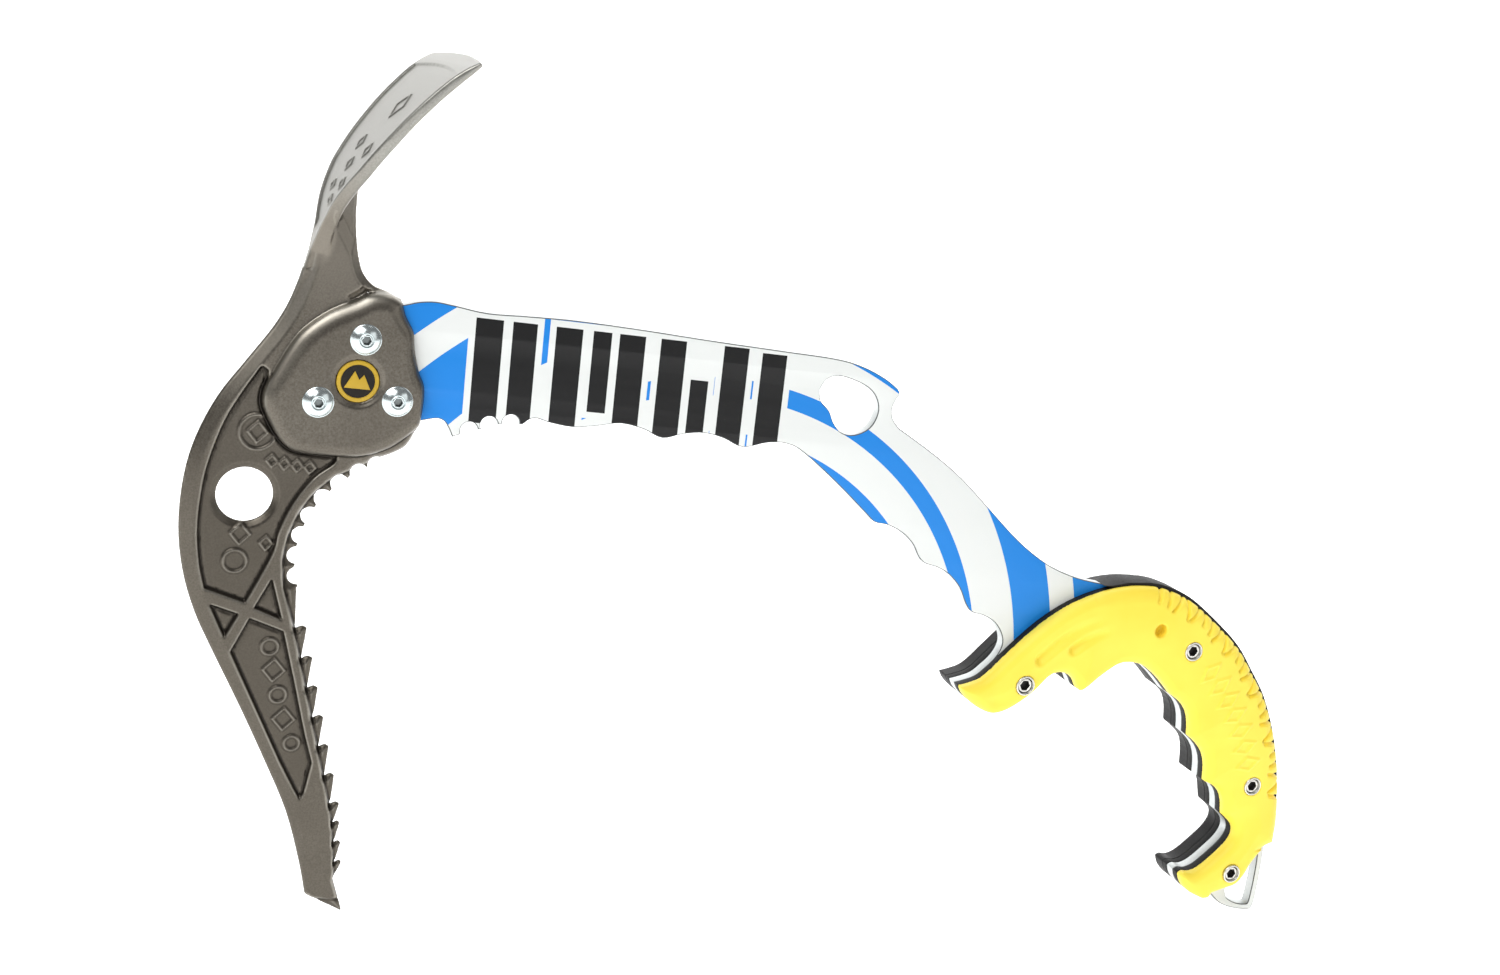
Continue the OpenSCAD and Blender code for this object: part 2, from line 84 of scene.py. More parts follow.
class Field:
    """A function of x and z on a grid, read between the grid's points."""

    def __init__(self, low, high, step):
        self.low, self.high, self.step = np.array(low, float), np.array(high, float), step
        self.shape = tuple(int(n) for n in np.ceil((np.array(high) - self.low) / step) + 1)
        self.x = low[0] + step * np.arange(self.shape[0])[:, None]
        self.z = low[1] + step * np.arange(self.shape[1])[None, :]
        self.values = None

    def to_lines(self, loops, closed=True):
        """Signed distance to the outlines: negative inside them, by the even-odd rule."""
        best = np.full(self.shape, 1e9)
        inside = np.zeros(self.shape, bool)
        for loop in loops:
            ends = np.roll(loop, -1, axis=0) if closed else loop[1:]
            for a, b in zip(loop, ends):
                d = b - a
                px, pz = self.x - a[0], self.z - a[1]
                t = np.clip((px * d[0] + pz * d[1]) / max(d @ d, 1e-12), 0, 1)
                best = np.minimum(best, (px - t * d[0]) ** 2 + (pz - t * d[1]) ** 2)
                if closed and a[1] != b[1]:
                    row = (self.z >= min(a[1], b[1])) & (self.z < max(a[1], b[1]))
                    inside ^= row & (self.x < a[0] + (self.z - a[1]) * d[0] / d[1])
        self.values = np.sqrt(best) * np.where(inside, -1, 1)
        return self

    def __call__(self, x, z):
        u = np.clip((x - self.low[0]) / self.step, 0, self.shape[0] - 1.001)
        v = np.clip((z - self.low[1]) / self.step, 0, self.shape[1] - 1.001)
        i, j = u.astype(int), v.astype(int)
        u, v, g = u - i, v - j, self.values
        return ((g[i, j] * (1 - u) + g[i + 1, j] * u) * (1 - v)
                + (g[i, j + 1] * (1 - u) + g[i + 1, j + 1] * u) * v)


# ---- Blending of shapes ----

def ease(t):
    """0 below 0, 1 above 1, and smooth between."""
    t = np.clip(t, 0, 1)
    return t * t * (3 - 2 * t)


def soft_min(a, b, k):
    """The smaller of a and b, with a rounded change over k."""
    h = np.maximum(k - np.abs(a - b), 0) / k
    return np.minimum(a, b) - h * h * k / 4


def soft_max(a, b, k):
    """The larger of a and b, with a rounded change over k."""
    return -soft_min(-a, -b, k)


def smooth_curve(points, n=8):
    """A smooth open curve through the points."""
    p = np.array(points, float)
    p = np.vstack([2 * p[0] - p[1], p, 2 * p[-1] - p[-2]])
    t = np.arange(n)[:, None] / n
    parts = [0.5 * (2 * b + (c - a) * t + (2 * a - 5 * b + 4 * c - d) * t ** 2
                    + (3 * b - a - 3 * c + d) * t ** 3)
             for a, b, c, d in zip(p, p[1:], p[2:], p[3:])]
    return np.vstack(parts + [p[-2:-1]])


# ---- Meshes from shape functions ----

CORNERS = [(i, j, k) for i in (0, 1) for j in (0, 1) for k in (0, 1)]
CELL_EDGES = [(a, b) for a in CORNERS for b in CORNERS
              if sum(b) - sum(a) == 1 and all(p <= q for p, q in zip(a, b))]


def surface_net(shape, low, high, step):
    """Vertices and quads of the surface where shape(x, y, z) is 0; shape is negative inside."""
    axes = [np.arange(a, b + step, step) for a, b in zip(low, high)]
    grid = np.empty([len(a) for a in axes], np.float32)
    for i in range(0, len(axes[0]), 16):
        grid[i:i + 16] = shape(axes[0][i:i + 16, None, None], axes[1][None, :, None],
                               axes[2][None, None, :])
    inside = grid < 0
    cells = [n - 1 for n in grid.shape]
    count = sum(inside[i:i + cells[0], j:j + cells[1], k:k + cells[2]].astype(np.int8)
                for i, j, k in CORNERS)
    at = np.argwhere((count > 0) & (count < 8))
    number = np.full(cells, -1, np.int64)
    number[tuple(at.T)] = np.arange(len(at))
    total, hits = np.zeros((len(at), 3)), np.zeros(len(at))
    for a, b in CELL_EDGES:
        fa, fb = (grid[tuple((at + c).T)].astype(float) for c in (a, b))
        crossed = (fa < 0) != (fb < 0)
        t = np.where(crossed, fa / np.where(crossed, fa - fb, 1), 0)
        point = np.array(a) + t[:, None] * (np.array(b) - np.array(a))
        total += point * crossed[:, None]
        hits += crossed
    verts = np.array(low) + (at + total / hits[:, None]) * step
    quads = []
    for axis in range(3):
        u, v = [(1, 2), (2, 0), (0, 1)][axis]
        first = [slice(1, -1)] * 3
        first[axis] = slice(0, -1)
        second = list(first)
        second[axis] = slice(1, None)
        a, b = inside[tuple(first)], inside[tuple(second)]
        edge = np.argwhere(a != b)
        edge[:, [u, v]] += 1
        corners = []
        for du, dv in ((1, 1), (0, 1), (0, 0), (1, 0)):
            cell = edge.copy()
            cell[:, u] -= du
            cell[:, v] -= dv
            corners.append(number[tuple(cell.T)])
        quad = np.stack(corners, 1)
        outward = inside[tuple(np.minimum(edge, np.array(inside.shape) - 1).T)]
        quad[~outward] = quad[~outward][:, ::-1]
        quads.append(quad)
    return verts, np.vstack(quads)


def settle(shape, verts, step, rounds=3):
    """Moves the vertices onto the surface, by Newton's method."""
    h = 0.05
    for _ in range(rounds):
        x, y, z = verts.T
        f = shape(x, y, z)
        grad = np.stack([
            shape(x + h, y, z) - shape(x - h, y, z),
            shape(x, y + h, z) - shape(x, y - h, z),
            shape(x, y, z + h) - shape(x, y, z - h)], 1) / (2 * h)
        size = np.maximum((grad ** 2).sum(1), 0.25)
        move = -(f / size)[:, None] * grad
        far = np.linalg.norm(move, axis=1)
        verts = verts + move * np.minimum(1, 0.4 * step / np.maximum(far, 1e-9))[:, None]
    return verts


def new_piece(name, verts, faces, material, replaces=()):
    """A smooth mesh piece that rides on the root body, from millimetres."""
    mesh = bpy.data.meshes.new(name)
    mesh.from_pydata((np.asarray(verts) * MM).tolist(), [], [list(map(int, f)) for f in faces])
    mesh.polygons.foreach_set("use_smooth", [True] * len(mesh.polygons))
    obj = bpy.data.objects.new(name, mesh)
    bpy.context.scene.collection.objects.link(obj)
    mesh.materials.append(material)
    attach(obj, "root")
    if replaces:
        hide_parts(*replaces)
    return obj


def meshed(shape, low, high):
    """Vertices and quads of the shape, settled on its surface."""
    verts, faces = surface_net(shape, low, high, CELL)
    return settle(shape, verts, CELL), faces


# ---- Sizes that the shape code shares ----

def box_mm(node):
    """A node's lowest and highest corners in millimetres."""
    low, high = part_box(node)
    return np.array(low) / MM, np.array(high) / MM


def place_of(node):
    """The middle of a node, as [x, z]."""
    low, high = box_mm(node)
    return (low[[0, 2]] + high[[0, 2]]) / 2


PLATE_Y = box_mm("shaft_plate")[1][1]
LINER_Y = box_mm("liner_right")[1][1]
GRIP_FACES = {-1: -box_mm("grip_left")[0][1], 1: box_mm("grip_right")[1][1]}
# Half thicknesses of the head at its boss, its rims and its pockets
BOSS_Y = 7.0
RIM_Y = 3.2
WEB_Y = 1.8
# Grid step of the fields over X and Z, and cell size of the meshes made from shapes
STEP = 0.4
CELL = 0.5
HEAD_NAMES = ("top", "front", "rear")
GRIP_NAMES = ("rest", "upper", "lower", "pommel")
HEAD_PLACES = [place_of("head_bolt_" + n) for n in HEAD_NAMES]
GRIP_PLACES = [place_of("screw_cup_" + n) for n in GRIP_NAMES]
MEDAL_PLACE = place_of("medallion_left")
# The back of the handle follows a circle: its middle, its radius and its first angle
BACK_MIDDLE, BACK_RADIUS, BACK_START = (114, 33), 123, math.radians(72.5)


# ---- Materials ----

def colour(r, g, b):
    """A linear colour from 0 to 255 screen values."""
    def linear(v):
        v /= 255
        return v / 12.92 if v <= 0.04045 else ((v + 0.055) / 1.055) ** 2.4
    return linear(r), linear(g), linear(b), 1.0


class Shader:
    """A Principled material with short calls for its nodes."""

    def __init__(self, name, **values):
        self.material = bpy.data.materials.new(name)
        self.material.use_nodes = True
        self.tree = self.material.node_tree
        self.bsdf = self.tree.nodes["Principled BSDF"]
        for key, value in values.items():
            self.bsdf.inputs[key.replace("_", " ")].default_value = value
        self.coordinates = self.add("ShaderNodeTexCoord")
        self.point = self.coordinates.outputs["Object"]
        self.normal = self.coordinates.outputs["Normal"]

    def add(self, kind, inputs=(), **settings):
        """A new node with its inputs linked or set."""
        node = self.tree.nodes.new(kind)
        for key, value in settings.items():
            setattr(node, key, value)
        for socket, value in dict(inputs).items():
            self.put(node.inputs[socket], value)
        return node

    def put(self, socket, value):
        """Links the socket to another one, or sets its value."""
        if isinstance(value, bpy.types.NodeSocket):
            self.tree.links.new(value, socket)
        else:
            socket.default_value = value

    def math(self, operation, a, b=0.0, clamp=False):
        node = self.add("ShaderNodeMath", {0: a, 1: b}, operation=operation, use_clamp=clamp)
        return node.outputs[0]

    def axes(self, vector):
        return self.add("ShaderNodeSeparateXYZ", {0: vector}).outputs

    def noise(self, scale, detail=4.0, rough=0.55, vector=None):
        node = self.add("ShaderNodeTexNoise", {
            "Vector": vector or self.point, "Scale": scale, "Detail": detail,
            "Roughness": rough})
        return node.outputs["Fac"]

    def between(self, value, low, high, to_low=0.0, to_high=1.0):
        """Goes from to_low to to_high as value goes from low to high, and stays there."""
        node = self.add("ShaderNodeMapRange", {
            "Value": value, "From Min": low, "From Max": high, "To Min": to_low,
            "To Max": to_high})
        return node.outputs["Result"]

    def mix(self, factor, a, b):
        node = self.add("ShaderNodeMix", data_type="RGBA")
        self.put(node.inputs["Factor"], factor)
        self.put(node.inputs["A"], a)
        self.put(node.inputs["B"], b)
        return node.outputs["Result"]

    def painted(self, name):
        """A value stored on the mesh's points."""
        return self.add("ShaderNodeAttribute", attribute_name=name).outputs["Fac"]

    def steps(self, value, stops, first):
        """Hard changes of colour along value: each stop is (value, colour above it)."""
        result = first
        for place, shade in stops:
            result = self.mix(self.math("GREATER_THAN", value, place), result, shade)
        return result

    def set(self, **values):
        for key, value in values.items():
            self.put(self.bsdf.inputs[key.replace("_", " ")], value)
        return self

    def bump(self, height, strength, distance):
        node = self.add("ShaderNodeBump", {
            "Height": height, "Strength": strength, "Distance": distance * MM})
        self.put(self.bsdf.inputs["Normal"], node.outputs["Normal"])
        return self


def forged_steel():
    """Satin grey-brown forging with a fine blasted grain; painted shade darkens its pockets, creases
    and partly its pick, and painted highlights and reflection brighten its edges, neck and adze."""
    s = Shader("forged_steel", Metallic=0.92)
    grain = s.noise(1500, 3, 0.6)
    cloud = s.noise(45, 4, 0.5)
    speckle = s.between(grain, 0.35, 0.65)
    height = s.axes(s.point)[2]
    normal = s.axes(s.normal)
    up_left = s.math("SUBTRACT", normal[2], normal[0])
    relief = s.painted("relief")

    shade = s.mix(speckle, colour(96, 91, 83), colour(116, 111, 102))
    shade = s.mix(s.between(cloud, 0.3, 0.75, 0.0, 0.4), shade, colour(90, 84, 76))
    # Painted shade in the pockets
    shade = s.mix(s.math("MULTIPLY", s.painted("pocket"), 0.5), shade, colour(74, 69, 62))
    # The pick is darker than the boss, partly as painted shade, and the neck has painted light
    shade = s.mix(s.between(height, 0.19, 0.14, 0.0, 0.45), shade, colour(76, 71, 63))
    shade = s.mix(s.between(height, 0.222, 0.246, 0.0, 0.6), shade, colour(138, 132, 122))
    # Painted highlight on the faces that look up and away from the handle
    up_left_highlight = s.math("MULTIPLY", s.between(up_left, 0.25, 0.8),
                    s.between(height, 0.19, 0.205, 0.0, 0.5))
    shade = s.mix(up_left_highlight, shade, colour(176, 170, 158))
    # Painted reflection makes the adze bright, and the outer face of the neck that leads to it
    neck = s.math("MULTIPLY", s.between(up_left, 0.35, 0.95), s.between(height, 0.215, 0.26),
                  clamp=True)
    adze = s.math("MAXIMUM", s.between(height, 0.258, 0.285), neck)
    shade = s.mix(adze, shade, s.mix(speckle, colour(142, 141, 135), colour(157, 156, 150)))
    # Painted highlights on edges and painted shade in creases
    shade = s.mix(s.between(relief, 0.06, 0.3, 0.0, 0.5), shade, colour(172, 168, 158))
    shade = s.mix(s.between(relief, -0.04, -0.25, 0.0, 0.85), shade, colour(36, 33, 29))
    s.set(Base_Color=shade, Roughness=s.between(grain, 0.3, 0.7, 0.3, 0.38))
    s.bump(grain, 0.22, 0.04)
    return s.material


# Blue and white rings on the plate: two middles, the radii where the colour changes, and the
# distance from the first middle where the second one takes over
RING_MIDDLE, RING_CHANGES = (-49.3, 92.4), (105.2, 118.8, 125.8, 144.0)
WEDGE_MIDDLE, WEDGE_CHANGES = (-52, 93), (163.5, 175)
RING_LAST = 152
# Black bars on the plate: start and stop along X, low and high along Z
BARS = [
    (-149, -139, 192, 230), (-135.5, -126.5, 192, 230), (-119.5, -109.5, 190, 230),
    (-105.5, -98.5, 200, 230), (-95.5, -85.5, 190, 230), (-79.5, -69.5, 190, 230),
    (-66.5, -59.5, 190, 216), (-54.5, -44.5, 190, 230), (-39, -29, 190, 229)]
BAR_LEAN, BAR_HEIGHT, BAR_OUTLINE = 0.055, 213, 2.4
# The print stops short of the leash eye
PRINT_END = 190


def printed_plate():
    """White enamel with blue rings and slanted black bars on both faces, bare silver edges."""
    white, blue, black = colour(229, 232, 230), colour(28, 132, 220), colour(22, 22, 23)
    s = Shader("printed_plate", Specular_IOR_Level=0.3)
    x, _, z = s.axes(s.point)

    def ring_distance(middle):
        dx = s.math("SUBTRACT", x, middle[0] * MM)
        dz = s.math("SUBTRACT", z, middle[1] * MM)
        squares = s.math("ADD", s.math("MULTIPLY", dx, dx), s.math("MULTIPLY", dz, dz))
        return s.math("SQRT", squares)

    def rings_about(distance, changes):
        """Blue up to the first radius, then white and blue by turns."""
        stops = [(r * MM, blue if i % 2 else white) for i, r in enumerate(changes)]
        return s.steps(distance, stops, blue)

    inner = ring_distance(RING_MIDDLE)
    rings = s.mix(s.math("GREATER_THAN", inner, RING_LAST * MM), rings_about(inner, RING_CHANGES),
                  rings_about(ring_distance(WEDGE_MIDDLE), WEDGE_CHANGES))

    # The bars lean a little: their place along the plate falls with their height
    lean = s.math("MULTIPLY", s.math("SUBTRACT", z, BAR_HEIGHT * MM), BAR_LEAN)
    along = s.math("ADD", x, lean)

    def bars(margin):
        """1 inside the slanted bars, each grown by margin."""
        total = 0.0
        for start, stop, low, high in BARS:
            half, middle = (stop - start) / 2 + margin, (start + stop) / 2
            away = s.math("ABSOLUTE", s.math("SUBTRACT", along, middle * MM))
            wide = s.math("LESS_THAN", away, half * MM)
            tall = s.math("ABSOLUTE", s.math("SUBTRACT", z, (low + high) / 2 * MM))
            tall = s.math("LESS_THAN", tall, ((high - low) / 2 + margin) * MM)
            total = s.math("ADD", total, s.math("MULTIPLY", wide, tall), clamp=True)
        return total

    print_colour = s.mix(bars(BAR_OUTLINE), rings, white)
    print_colour = s.mix(bars(0), print_colour, black)
    print_colour = s.mix(s.math("GREATER_THAN", x, PRINT_END * MM), print_colour, white)
    # Bare metal on the sides, and a painted grey line of shade where a face rolls over to its side
    facing = s.math("ABSOLUTE", s.axes(s.normal)[1])
    face = s.math("GREATER_THAN", facing, 0.965)
    side = s.math("LESS_THAN", facing, 0.2)
    fine = s.noise(900, 3)
    silver = s.mix(fine, colour(196, 200, 200), colour(222, 226, 226))
    edge = s.mix(side, colour(84, 88, 88), silver)
    s.set(Base_Color=s.mix(face, edge, print_colour),
          Metallic=s.math("MULTIPLY", side, 0.6),
          Roughness=s.between(fine, 0.2, 0.8, 0.38, 0.46))
    s.bump(fine, 0.06, 0.02)
    return s.material


def moulded(name, tint, deep, rough):
    """Moulded rubbery plastic with a fine texture and slightly deeper colour in patches."""
    s = Shader(name, Specular_IOR_Level=0.35)
    texture = s.noise(1500, 2, 0.5)
    patches = s.noise(35, 3, 0.5)
    s.set(Base_Color=s.mix(s.between(patches, 0.35, 0.75), tint, deep),
          Roughness=s.between(texture, 0.3, 0.7, rough - 0.05, rough + 0.07))
    s.bump(texture, 0.12, 0.04)
    return s.material


def plated(name, tint, rough):
    """Zinc-plated or turned metal with faint streaks."""
    s = Shader(name, Metallic=1.0)
    streak = s.noise(700, 4, 0.6)
    s.set(Base_Color=s.mix(s.between(streak, 0.3, 0.7, 0.0, 0.25), tint, (0.42, 0.45, 0.45, 1)),
          Roughness=s.between(streak, 0.3, 0.7, rough, rough + 0.1))
    s.bump(streak, 0.03, 0.02)
    return s.material


STEEL = forged_steel()
PRINT = printed_plate()
YELLOW = moulded("yellow_grip", colour(255, 232, 84), colour(252, 224, 72), 0.42)
BLACK = moulded("black_grip", colour(20, 20, 21), colour(15, 15, 16), 0.5)
LINER = moulded("black_liner", colour(18, 18, 18), colour(13, 13, 13), 0.6)
ZINC = plated("zinc_plate", colour(214, 224, 225), 0.16)
SILVER = plated("turned_silver", colour(218, 216, 210), 0.24)
# Darker materials inside the hex sockets: painted shade
SOCKET_SHADOW = moulded("socket_shadow", colour(46, 44, 42), colour(34, 33, 32), 0.5)
BOLT_SOCKET_SHADE = plated("bolt_socket_shade", colour(120, 126, 126), 0.3)
GOLD = moulded("gold_paint", colour(200, 166, 50), colour(186, 152, 42), 0.35)
FIELD = moulded("dark_field", colour(26, 21, 11), colour(20, 16, 9), 0.6)


# ---- Head forging ----

# Middle line of the adze blade, with its width and thickness at the same stations
BLADE = smooth_curve([
    (-212.4, 226), (-209.6, 236), (-207.6, 246), (-205.9, 255), (-203.9, 265), (-199.6, 275.5),
    (-193.2, 287), (-184.7, 299.6), (-175.5, 310.6), (-166.6, 318.8)])
BLADE_WIDTHS = ([0, 2, 3, 4, 5, 6, 7, 8, 9], [1.6, 4.6, 13, 27.5, 41.5, 50, 55.8, 59.6, 61.8])
BLADE_THICK = ([0, 3, 6, 8, 8.5, 9], [5.2, 5, 4.2, 3.6, 2.8, 1.0])
BLADE_SKEW = 0.078
BLADE_CROWN = 3.0
# Raised diamonds on the outer face of the blade: station, place across and size
BLADE_MARKS = [(3.9, -4, 2.2), (4.35, 2, 2.2), (4.5, -8, 2.4), (5.1, -2, 2.6), (5.6, -11, 2.6),
               (5.75, 3, 2.6), (6.9, -5, 4.4)]
TIP = BLADE[-1]
TIP_WAY = (BLADE[-1] - BLADE[-3]) / np.linalg.norm(BLADE[-1] - BLADE[-3])
# Heights where the blade and the neck begin, and where the flat part of the head ends
BLADE_FOOT, NECK_FOOT, FLAT_TOP = 226, 229, 271
# Radius of the bolt bores in the head
HEAD_BORE = 3.6
# The ridge across the neck: a point on it, and the direction towards the rear edge
RIDGE_PLACE, RIDGE_WAY = (-190.0, 235.5), (0.8436, 0.5368)


def blade_fields(low, high):
    """Station along the blade, and signed distance from its middle line (outer side positive)."""
    station, offset = Field(low, high, STEP), Field(low, high, STEP)
    best = np.full(station.shape, 1e9)
    station.values, offset.values = np.zeros(station.shape), np.zeros(station.shape)
    last = len(BLADE) - 2
    for i, (a, b) in enumerate(zip(BLADE, BLADE[1:])):
        d = b - a
        px, pz = station.x - a[0], station.z - a[1]
        t = (px * d[0] + pz * d[1]) / (d @ d)
        t = np.clip(t, -50 if i == 0 else 0, 50 if i == last else 1)
        gap = np.hypot(px - t * d[0], pz - t * d[1])
        side = np.sign(d[0] * pz - d[1] * px)
        nearer = gap < best
        best = np.where(nearer, gap, best)
        station.values = np.where(nearer, (i + t) / 8, station.values)
        offset.values = np.where(nearer, gap * side, offset.values)
    return station, offset


# Raised marks in the pockets: kind, middle and size
MARKS = [
    ("ring", (-220.5, 181.5), 6.2), ("diamond", (-220.5, 181.5), 3.0),
    ("diamond", (-214.6, 171.6), 1.7), ("diamond", (-210.2, 171), 1.7),
    ("diamond", (-205.8, 170.6), 1.7), ("diamond", (-201.4, 170.4), 1.7),
    ("diamond", (-222.6, 144.6), 3.0), ("ring", (-223.4, 134.6), 4.0),
    ("diamond", (-213.4, 141.8), 2.0), ("ring", (-207.9, 103.6), 2.9),
    ("diamond", (-205.6, 94.9), 3.4), ("ring", (-203.1, 85.6), 2.9),
    ("diamond", (-200.1, 76.4), 3.4), ("ring", (-196.2, 67.2), 2.7)]


def marks(x, z, width=0.55):
    """1 on the raised marks, 0 off them."""
    total = 0 * x
    for kind, place, size in MARKS:
        dx, dz = np.abs(x - place[0]), np.abs(z - place[1])
        r = np.hypot(dx, dz) if kind == "ring" else (dx * 1.1 + dz) / 1.25
        total = np.maximum(total, ease((width + 0.25 - np.abs(r - size)) / 0.5))
    return total


def softened(values, rounds):
    """The grid of values with its detail spread out."""
    for _ in range(rounds):
        p = np.pad(values, 1, mode="edge")
        values = (p[:-2, 1:-1] + p[2:, 1:-1] + p[1:-1, :-2] + p[1:-1, 2:] + 2 * values) / 6
    return values


def outline_field(node, y, low, high):
    """Signed distance over X and Z to a CAD node's outline at the height y."""
    return Field(low, high, STEP).to_lines(section(node, y))


def spine_distance(outer, grid):
    """Distance from the spine: the side of the head with the lowest x at each height."""
    x, z = grid.x + 0 * grid.z, grid.z[0]
    rows = np.arange(grid.shape[1])
    first = (outer < 0).argmax(0)
    used = (outer < 0).any(0) & (z > 8)
    after, before = outer[first, rows], outer[first - 1, rows]
    edge_x = x[first, rows] - STEP * after / np.where(used, after - before, 1)
    line = np.stack([edge_x[used], z[used]], 1)[::3]
    return Field(grid.low, grid.high, STEP).to_lines([line], closed=False).values


def pocket_height(rims, inside, x, z):
    """Half thickness of the web with its raised marks, and of the rims round the pockets, with
    how far each place is up on a rim from 0 to 1."""
    web = np.minimum(WEB_Y, 0.45 + 0.62 * np.maximum(inside, 0))
    rise = ease((0.3 - rims) / 0.85)
    height = web + (RIM_Y - WEB_Y) * rise * ease(inside / 0.9)
    # A fine groove runs along the foot of the rims
    height -= 0.45 * np.exp(-((rims - 0.8) / 0.38) ** 2)
    height += 0.6 * marks(x, z) * (1 - rise)
    return height, rise


def neck_height(inside, x, z):
    """Half thickness of the neck: flat, then falling behind a ridge to a thin rear edge."""
    behind = RIDGE_WAY[0] * (x - RIDGE_PLACE[0]) + RIDGE_WAY[1] * (z - RIDGE_PLACE[1])
    neck = np.clip(RIM_Y + 0.15 - 0.5 * np.maximum(behind, 0), 1.4, RIM_Y)
    return np.minimum(neck, 0.6 + 0.9 * np.maximum(inside, 0))


def boss_height(boss, x, z):
    """Half thickness of the domed boss, whose shoulder is broader towards its upper left."""
    aside = -0.64 * (x - MEDAL_PLACE[0]) + 0.77 * (z - MEDAL_PLACE[1])
    radius = 4.2 + 2.8 * ease(aside / 28)
    depth = np.clip(-boss + 0.4, 0, radius) / radius
    dome = RIM_Y + (BOSS_Y - RIM_Y) * np.sqrt(1 - (1 - depth) ** 2)
    return np.where(boss < 0.4, dome, RIM_Y - 4 * (boss - 0.4))


def head_fields(low, high):
    """Fields over X and Z for the flat part of the head: its outline, half thickness and slope
    factor, then the painted light and shade on it: its fine relief, for painted highlights on edges
    and painted shade in creases, and how deep it lies in a pocket, for painted shade there."""
    outline = outline_field("head_forging", 0.3, low, high)
    # Above the plate's slot the section at the web is empty, so the one over the slot joins it
    rims = np.minimum(outline_field("head_forging", WEB_Y + 0.15, low, high).values,
                      outline_field("head_forging", PLATE_Y + 0.2, low, high).values)
    boss_loop = [p for p in section("head_forging", 5.5) if p[:, 1].max() < 240][:1]
    boss = Field(low, high, STEP).to_lines(boss_loop).values
    x, z = outline.x + 0 * outline.z, outline.z + 0 * outline.x
    outer = np.minimum(outline.values, rims)
    # The rear of the neck is a little fuller than in CAD
    outer -= 0.6 * np.exp(-((z - 249) / 9) ** 2) * ease((x + 203) / 5)
    spine = spine_distance(outer, outline)
    inside = -outer

    height, rise = pocket_height(rims, inside, x, z)
    height += (neck_height(inside, x, z) - height) * ease((z - NECK_FOOT) / 4)
    # Metal enough to cover the plate's tang
    tang = outline_field("shaft_plate", 0.3, low, high).values
    cover = PLATE_Y + 1.4 - 1.1 * np.maximum(tang - 0.5, 0)
    height = soft_max(height, np.where(z < 252, cover, 0), 0.6)
    # A long bevel along the spine, and rounded edges elsewhere
    height = soft_min(height, 0.9 + 0.52 * np.maximum(spine, 0), 0.2)
    round_edge = 1.1 + 1.3 * np.maximum(inside, 0)
    height = np.where(rise > 0.5, soft_min(height, round_edge, 0.3), height)
    # The boss, with a fillet up to the neck and a fine groove on the side of the pocket
    fillet = np.minimum(3.1 - 0.42 * np.maximum(boss, 0), 0.8 + 1.2 * inside)
    height = np.where(z > BLADE_FOOT, soft_max(height, fillet, 1.0), height)
    height = soft_max(height, boss_height(boss, x, z), 1.2)
    height -= 0.25 * np.exp(-((boss - 1.0) / 0.45) ** 2) * (1 - rise)
    # A dish round the medallion, and its seat
    from_medal = np.hypot(x - MEDAL_PLACE[0], z - MEDAL_PLACE[1])
    height -= 0.7 * ease((9.8 - from_medal) / 1.8)
    height = np.where(from_medal < 7.5, np.minimum(height, 5.4), height)
    # The pick thins towards its point, below the height of 62
    height = np.minimum(height, 1.83 + np.maximum(z, 0) * 0.0221 + 10 * (z > 62))

    slope = np.gradient(height, STEP)
    # The fine relief: raised edges get painted highlights and creases painted shade
    relief = (height - softened(height, 5)) * ease(inside / 0.6)
    # The changes at the shoulder and the neck are soft, so their painted highlights and shade are
    # faint
    calm = (boss < 4) & (rims < -1.6) & (z > 190) | (z > BLADE_FOOT) & (relief < 0)
    relief *= np.where(calm, 0.15, 1)
    # How deep a place lies in a pocket, for painted shade there
    pocket = (1 - rise) * ease(inside / 1.2) * (z < NECK_FOOT)
    fields = []
    for values in (outer, height, 1 / np.sqrt(1 + slope[0] ** 2 + slope[1] ** 2), relief, pocket):
        field = Field(low, high, STEP)
        field.values = values
        fields.append(field)
    return fields


def paint(obj, name, values):
    """Stores a value on each point of the mesh."""
    layer = obj.data.attributes.new(name, "FLOAT", "POINT")
    layer.data.foreach_set("value", np.asarray(values, np.float32))


def blade_shape(station, offset, x, y, z):
    """The adze blade: below 0 inside it. Its outer face has a sunk panel with raised diamonds."""
    x = x + y * BLADE_SKEW * np.clip((z - BLADE_FOOT) / 50, 0, 1)
    s, n = station(x, z), offset(x, z)
    half_w = np.interp(s, *BLADE_WIDTHS) / 2
    half_t = np.interp(s, *BLADE_THICK) / 2
    past = (x - TIP[0]) * TIP_WAY[0] + (z - TIP[1]) * TIP_WAY[1]
    past = past - 0.7 + BLADE_CROWN * (y / half_w) ** 2
    inset = half_w - np.abs(y)
    panel = ease((inset - 2.4) / 0.7) * ease((-past - 8.4) / 0.7) * ease((s - 2.6) / 0.6)
    studs = 0 * y * s
    for stud_s, stud_y, size in BLADE_MARKS:
        r = np.abs(s - stud_s) * 13 + np.abs(y - stud_y)
        studs = np.maximum(studs, ease((0.95 - np.abs(r - size)) / 0.8))
    top = n - half_t + 0.65 * panel - 0.42 * studs * panel
    under = -n - half_t + 0.7 * ease((1.6 - inset) / 1.6) * ease(s - 3)
    f = soft_max(np.maximum(top, under), -inset, 0.9)
    return np.maximum(soft_max(f, past, 0.5), BLADE_FOOT - z)


